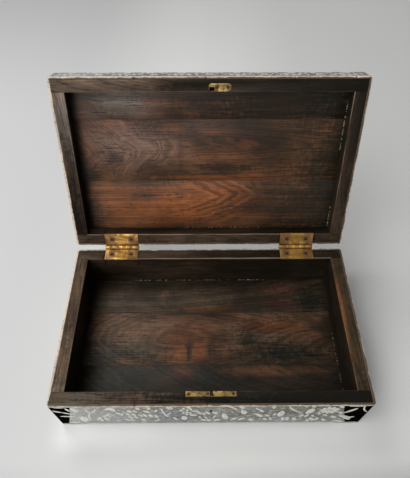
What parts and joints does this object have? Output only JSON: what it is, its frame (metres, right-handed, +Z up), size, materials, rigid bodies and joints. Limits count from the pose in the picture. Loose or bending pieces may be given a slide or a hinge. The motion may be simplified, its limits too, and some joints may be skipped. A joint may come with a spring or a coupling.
{
  "type": "writing slope",
  "caption": "Flat hinged wooden box for papers, inlaid outside, on block feet, with butt hinges that stop the open lid and a lock in the front rim.",
  "frame": {"origin": "middle of the ground that the open box covers, in the plane of the feet's soles", "axes": "+X to the right along the hinges, +Y from the front with the keyhole to the back, +Z up"},
  "size_m": [0.362, 0.3268, 0.2733],
  "materials": {
    "dark_wood": "waxed dark hardwood",
    "lid_planks": "waxed figured hardwood",
    "inlaid_facing": "polished silver-grey veneer inlaid with white scrolls",
    "black_panels": "polished black veneer inlaid with white leaves",
    "bone_edging": "worn cream bone",
    "aged_brass": "aged, rubbed",
    "dark_steel": "browned",
    "bright_steel": "dull"
  },
  "bodies": {
    "base": {"base_back_board": "dark_wood", "base_back_edging": "bone_edging", "base_back_veneer": "inlaid_facing", "base_floor_front": "dark_wood", "base_floor_middle": "dark_wood", "base_floor_rear": "dark_wood", "base_front_board": "dark_wood", "base_front_edging": "bone_edging", "base_front_veneer": "inlaid_facing", "base_left_board": "dark_wood", "base_left_edging": "bone_edging", "base_left_veneer": "inlaid_facing", "base_right_board": "dark_wood", "base_right_edging": "bone_edging", "base_right_veneer": "inlaid_facing", "foot_front_left": "inlaid_facing", "foot_front_right": "inlaid_facing", "foot_rear_left": "inlaid_facing", "foot_rear_right": "inlaid_facing", "front_left_panel_on_front": "black_panels", "front_left_panel_on_side": "black_panels", "front_right_panel_on_front": "black_panels", "front_right_panel_on_side": "black_panels", "hinge_base_screws": "dark_steel", "hinge_left_base_leaf": "aged_brass", "hinge_left_pin": "aged_brass", "hinge_right_base_leaf": "aged_brass", "hinge_right_pin": "aged_brass", "lock_cap": "aged_brass", "lock_key_pin": "bright_steel", "lock_plate": "aged_brass", "lock_screws": "dark_steel", "lock_spring": "bright_steel", "rear_left_panel_on_back": "black_panels", "rear_left_panel_on_side": "black_panels", "rear_right_panel_on_back": "black_panels", "rear_right_panel_on_side": "black_panels"},
    "lid": {"hinge_left_lid_leaf": "aged_brass", "hinge_lid_screws": "dark_steel", "hinge_right_lid_leaf": "aged_brass", "lid_back_edging": "bone_edging", "lid_back_facing": "inlaid_facing", "lid_back_rail": "dark_wood", "lid_front_edging": "bone_edging", "lid_front_facing": "inlaid_facing", "lid_front_rail": "dark_wood", "lid_left_edging": "bone_edging", "lid_left_facing": "inlaid_facing", "lid_left_rail": "dark_wood", "lid_right_edging": "bone_edging", "lid_right_facing": "inlaid_facing", "lid_right_rail": "dark_wood", "lid_top_front_board": "lid_planks", "lid_top_middle_board": "lid_planks", "lid_top_rear_board": "lid_planks", "lid_top_veneer": "inlaid_facing", "strike_plate": "aged_brass", "strike_screws": "dark_steel"},
    "bolt": {"lock_bolt": "bright_steel"}
  },
  "joints": [
    {"name": "lid_hinge", "type": "hinge", "parent": "base", "child": "lid", "pos_m": [0, 0.05591, 0.0692], "axis": [1, 0, 0], "range_deg": [0, 111.4]},
    {"name": "bolt_throw", "type": "slide", "parent": "base", "child": "bolt", "axis": [0, 0, 1], "range_m": [0, 0.0055]}
  ]
}
